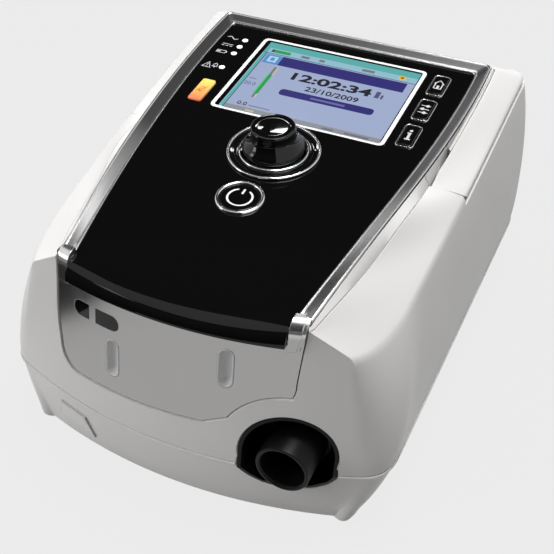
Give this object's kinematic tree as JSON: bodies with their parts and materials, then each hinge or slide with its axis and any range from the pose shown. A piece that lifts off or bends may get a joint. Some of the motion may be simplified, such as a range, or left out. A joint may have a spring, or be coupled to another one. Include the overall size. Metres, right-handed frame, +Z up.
{
  "type": "non-invasive ventilator",
  "caption": "Bedside non-invasive ventilator: wedge-shaped white case, gloss black panel with colour display, push-turn dial, keys, flush carry handle and 22 mm air outlet.",
  "frame": {"origin": "middle of the footprint on the table, at the height of the table", "axes": "+X to the object's right as seen from the front, +Y to the rear, +Z up; the front with the air outlet faces -Y"},
  "size_m": [0.1706, 0.2339, 0.12],
  "materials": {
    "case_white": "pearl satin",
    "trim_silver": "satin metallic",
    "panel_black": "high gloss",
    "window_clear": "high gloss",
    "module_grey": "matt",
    "board_green": "matt",
    "ring_chrome": "polished",
    "knob_black": "high gloss",
    "steel": "plain",
    "key_black": "gloss",
    "key_orange": "translucent",
    "rubber_grey": "matt",
    "silicone": "matt",
    "light_white": "translucent",
    "moulding_black": "matt",
    "moulding_grey": "matt",
    "filter_fleece": "fleece",
    "battery_blue": "shrink film",
    "supply_metal": "plain"
  },
  "bodies": {
    "housing": {"lower_case": "case_white", "upper_case": "case_white", "connector_frame": "case_white", "front_trim": "trim_silver", "control_panel": "panel_black", "display_window": "window_clear", "display_module": "module_grey", "display_board": "board_green", "dial_ring": "ring_chrome", "encoder": "module_grey", "standby_ring": "ring_chrome", "menu_key_frames": "ring_chrome", "key_springs": "silicone", "indicator_lights": "light_white", "front_windows": "panel_black", "outlet_housing": "moulding_black", "outlet_connector": "moulding_black", "outlet_seal": "silicone", "outlet_duct": "silicone", "flow_sensor": "module_grey", "handle_pins": "steel", "feet": "rubber_grey", "case_screws": "steel", "chassis_tray": "moulding_grey", "blower_lower": "moulding_grey", "blower_upper": "moulding_grey", "blower_mounts": "rubber_grey", "motor_stator": "steel", "motor_bearings": "steel", "inlet_muffler": "module_grey", "inlet_duct": "module_grey", "air_filter": "filter_fleece", "filter_pin": "steel", "battery_pack": "battery_blue", "battery_strap": "steel", "power_supply": "supply_metal", "main_board": "board_green", "board_spacers": "steel", "speaker": "moulding_black", "rear_panel": "moulding_black", "mains_inlet": "moulding_black", "dc_socket": "moulding_black", "data_socket": "steel", "oxygen_inlet": "moulding_grey", "fan_frame": "moulding_black"},
    "handle": {"carry_handle": "case_white"},
    "dial_plunger": {"dial_shaft": "steel"},
    "dial": {"dial_knob": "knob_black"},
    "standby": {"standby_button": "knob_black"},
    "menu_1": {"menu_key_1": "key_black"},
    "menu_2": {"menu_key_2": "key_black"},
    "menu_3": {"menu_key_3": "key_black"},
    "mute": {"mute_key": "key_orange"},
    "release": {"release_key": "case_white"},
    "filter_door": {"filter_cover": "case_white"},
    "rocker": {"mains_switch": "moulding_black"},
    "blower_wheel": {"impeller": "moulding_grey", "motor_shaft": "steel"},
    "fan_wheel": {"fan_rotor": "moulding_black"}
  },
  "joints": [
    {"name": "handle_swing", "type": "hinge", "parent": "housing", "child": "handle", "pos_m": [0, 0.0046, 0.0995], "axis": [1, 0, 0], "range_deg": [0, 68]},
    {"name": "dial_press", "type": "slide", "parent": "housing", "child": "dial_plunger", "axis": [0, 0.0879, -0.9961], "range_m": [0, 0.0007], "stiffness_N_per_m": 1500, "springref_m": -0.0005},
    {"name": "dial_turn", "type": "hinge", "parent": "dial_plunger", "child": "dial", "pos_m": [0, -0.016, 0.10659], "axis": [0, -0.0879, 0.9961], "continuous": true},
    {"name": "standby_press", "type": "slide", "parent": "housing", "child": "standby", "axis": [0, 0.1122, -0.9937], "range_m": [0, 0.0006], "stiffness_N_per_m": 800, "springref_m": -0.0004},
    {"name": "menu_press_1", "type": "slide", "parent": "housing", "child": "menu_1", "axis": [0, 0.0879, -0.9961], "range_m": [0, 0.0006], "stiffness_N_per_m": 800, "springref_m": -0.0004},
    {"name": "menu_press_2", "type": "slide", "parent": "housing", "child": "menu_2", "axis": [0, 0.0879, -0.9961], "range_m": [0, 0.0006], "stiffness_N_per_m": 800, "springref_m": -0.0004},
    {"name": "menu_press_3", "type": "slide", "parent": "housing", "child": "menu_3", "axis": [0, 0.0879, -0.9961], "range_m": [0, 0.0006], "stiffness_N_per_m": 800, "springref_m": -0.0004},
    {"name": "mute_press", "type": "slide", "parent": "housing", "child": "mute", "axis": [0, 0.0879, -0.9961], "range_m": [0, 0.0006], "stiffness_N_per_m": 800, "springref_m": -0.0004},
    {"name": "release_press", "type": "slide", "parent": "housing", "child": "release", "axis": [0, 1, 0], "range_m": [0, 0.002], "stiffness_N_per_m": 500, "springref_m": -0.001},
    {"name": "filter_door_swing", "type": "hinge", "parent": "housing", "child": "filter_door", "pos_m": [-0.0832, 0.03, 0.035], "axis": [0, -1, 0], "range_deg": [0, 75]},
    {"name": "rocker_tilt", "type": "hinge", "parent": "housing", "child": "rocker", "pos_m": [-0.021, 0.104, 0.053], "axis": [-1, 0, 0], "range_deg": [0, 16]},
    {"name": "blower_spin", "type": "hinge", "parent": "housing", "child": "blower_wheel", "pos_m": [0.022, -0.026, 0.035], "axis": [0, 0, 1], "continuous": true},
    {"name": "fan_spin", "type": "hinge", "parent": "housing", "child": "fan_wheel", "pos_m": [0.047, 0.102, 0.053], "axis": [0, 1, 0], "continuous": true}
  ]
}
